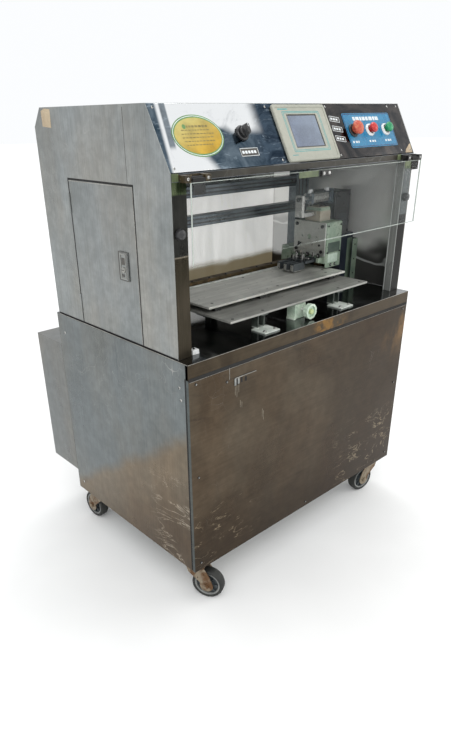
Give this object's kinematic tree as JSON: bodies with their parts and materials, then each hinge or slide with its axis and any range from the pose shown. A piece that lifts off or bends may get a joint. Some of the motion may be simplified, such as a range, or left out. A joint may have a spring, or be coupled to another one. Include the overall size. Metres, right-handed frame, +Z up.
{
  "type": "vacuum packing machine",
  "caption": "Stainless cabinet on swivel casters with a guarded work chamber above: hinged clear guard, sliding table and clamp head, and a sloped panel with touch screen and push buttons.",
  "frame": {"origin": "on the floor, under the middle of the machine's bounding box", "axes": "+Z up, -Y out of the front towards the operator, +X to the operator's right"},
  "size_m": [0.98, 0.8208, 1.35],
  "materials": {
    "brushed": "worn brushed",
    "polished": "mirror polished",
    "casting": "satin",
    "plate": "machined",
    "rusty": "rusted",
    "dark": "satin",
    "tyre": "matte",
    "acrylic": "clear",
    "opal": "opal",
    "bezel": "fine texture",
    "screen": "gloss",
    "blue": "gloss",
    "red": "gloss",
    "green": "gloss",
    "white": "gloss",
    "black": "satin",
    "paint": "satin"
  },
  "bodies": {
    "machine": {"base_left_panel": "brushed", "base_right_panel": "brushed", "base_front_panel": "brushed", "base_rear_panel": "brushed", "base_floor": "brushed", "deck_plate": "brushed", "rear_housing": "brushed", "upper_left_panel": "brushed", "roof_panel": "brushed", "upper_right_panel": "polished", "upper_rear_wall": "polished", "control_panel": "polished", "chamber_ceiling": "polished", "left_front_post": "polished", "right_front_post": "polished", "handwheel_bracket": "casting", "column_post": "casting", "vacuum_pump": "casting", "lower_table_plate": "plate", "table_leg_left": "plate", "table_leg_right": "plate", "air_cylinder": "plate", "guide_rail": "rusty", "rear_gantry": "dark", "drive_housing": "dark", "guard_hinge_left": "dark", "guard_hinge_right": "dark", "rear_window": "opal", "touch_panel": "bezel", "touch_screen": "screen", "button_plate": "blue", "stop_collar": "white", "start_collar": "white", "estop_collar": "black", "selector_ring": "black", "pump_motor": "paint", "electrical_box": "paint"},
    "swivel_front_left": {"caster_fork_front_left": "plate"},
    "wheel_front_left": {"caster_wheel_front_left": "tyre"},
    "swivel_rear_left": {"caster_fork_rear_left": "plate"},
    "wheel_rear_left": {"caster_wheel_rear_left": "tyre"},
    "swivel_front_right": {"caster_fork_front_right": "plate"},
    "wheel_front_right": {"caster_wheel_front_right": "tyre"},
    "swivel_rear_right": {"caster_fork_rear_right": "plate"},
    "wheel_rear_right": {"caster_wheel_rear_right": "tyre"},
    "guard": {"guard_pane": "acrylic", "guard_leaf_left": "rusty", "guard_leaf_right": "rusty"},
    "service_door": {"service_door": "brushed"},
    "service_latch": {"service_latch": "plate"},
    "handwheel": {"handwheel": "casting"},
    "upper_table": {"upper_table_plate": "plate"},
    "head": {"head_housing": "casting", "head_side_plate": "plate", "cylinder_rod": "plate"},
    "bag_clamp": {"bag_clamp": "dark"},
    "estop_button": {"estop_button": "red"},
    "stop_button": {"stop_button": "red"},
    "start_button": {"start_button": "green"},
    "selector_knob": {"selector_knob": "black"}
  },
  "joints": [
    {"name": "caster_swivel_front_left", "type": "hinge", "parent": "machine", "child": "swivel_front_left", "pos_m": [-0.438, -0.33175, 0.117], "axis": [0, 0, 1], "continuous": true},
    {"name": "caster_roll_front_left", "type": "hinge", "parent": "swivel_front_left", "child": "wheel_front_left", "pos_m": [-0.42103, -0.36236, 0.05], "axis": [0.8746, 0.4848, 0], "continuous": true},
    {"name": "caster_swivel_rear_left", "type": "hinge", "parent": "machine", "child": "swivel_rear_left", "pos_m": [-0.438, 0.19925, 0.117], "axis": [0, 0, 1], "continuous": true},
    {"name": "caster_roll_rear_left", "type": "hinge", "parent": "swivel_rear_left", "child": "wheel_rear_left", "pos_m": [-0.43983, 0.2342, 0.05], "axis": [-0.9986, -0.0523, 0], "continuous": true},
    {"name": "caster_swivel_front_right", "type": "hinge", "parent": "machine", "child": "swivel_front_right", "pos_m": [0.438, -0.33175, 0.117], "axis": [0, 0, 1], "continuous": true},
    {"name": "caster_roll_front_right", "type": "hinge", "parent": "swivel_front_right", "child": "wheel_front_right", "pos_m": [0.40334, -0.32688, 0.05], "axis": [-0.1392, -0.9903, 0], "continuous": true},
    {"name": "caster_swivel_rear_right", "type": "hinge", "parent": "machine", "child": "swivel_rear_right", "pos_m": [0.438, 0.19925, 0.117], "axis": [0, 0, 1], "continuous": true},
    {"name": "caster_roll_rear_right", "type": "hinge", "parent": "swivel_rear_right", "child": "wheel_rear_right", "pos_m": [0.4205, 0.22956, 0.05], "axis": [-0.866, -0.5, 0], "continuous": true},
    {"name": "guard_lift", "type": "hinge", "parent": "machine", "child": "guard", "pos_m": [0, -0.35975, 1.2], "axis": [-1, 0, 0], "range_deg": [0, 100]},
    {"name": "service_door_swing", "type": "hinge", "parent": "machine", "child": "service_door", "pos_m": [-0.487, 0.09625, 0.982], "axis": [0, 0, -1], "range_deg": [0, 110]},
    {"name": "service_latch_turn", "type": "hinge", "parent": "service_door", "child": "service_latch", "pos_m": [-0.4863, -0.13975, 0.983], "axis": [1, 0, 0], "range_deg": [0, 90]},
    {"name": "handwheel_turn", "type": "hinge", "parent": "machine", "child": "handwheel", "pos_m": [0.004, -0.35375, 0.807], "axis": [0, 1, 0], "range_deg": [0, 2700]},
    {"name": "table_adjust", "type": "slide", "parent": "machine", "child": "upper_table", "axis": [0, -1, 0], "range_m": [0, 0.0301]},
    {"name": "head_slide", "type": "slide", "parent": "machine", "child": "head", "axis": [-1, 0, 0], "range_m": [0, 0.08]},
    {"name": "clamp_lift", "type": "hinge", "parent": "head", "child": "bag_clamp", "pos_m": [0.265, -0.11775, 0.886], "axis": [0, 1, 0], "range_deg": [0, 40]},
    {"name": "estop_press", "type": "slide", "parent": "machine", "child": "estop_button", "axis": [0, 0.8712, -0.4909], "range_m": [0, 0.005], "stiffness_N_per_m": 300, "springref_m": -0.003},
    {"name": "stop_press", "type": "slide", "parent": "machine", "child": "stop_button", "axis": [0, 0.8712, -0.4909], "range_m": [0, 0.004], "stiffness_N_per_m": 300, "springref_m": -0.003},
    {"name": "start_press", "type": "slide", "parent": "machine", "child": "start_button", "axis": [0, 0.8712, -0.4909], "range_m": [0, 0.004], "stiffness_N_per_m": 300, "springref_m": -0.003},
    {"name": "selector_turn", "type": "hinge", "parent": "machine", "child": "selector_knob", "pos_m": [-0.23, -0.3025, 1.28394], "axis": [0, -0.8712, 0.4909], "range_deg": [-45, 45]}
  ],
  "couplings": [
    {"joint": "table_adjust", "follows": "handwheel_turn", "m_per_rad": 0.00063662}
  ]
}
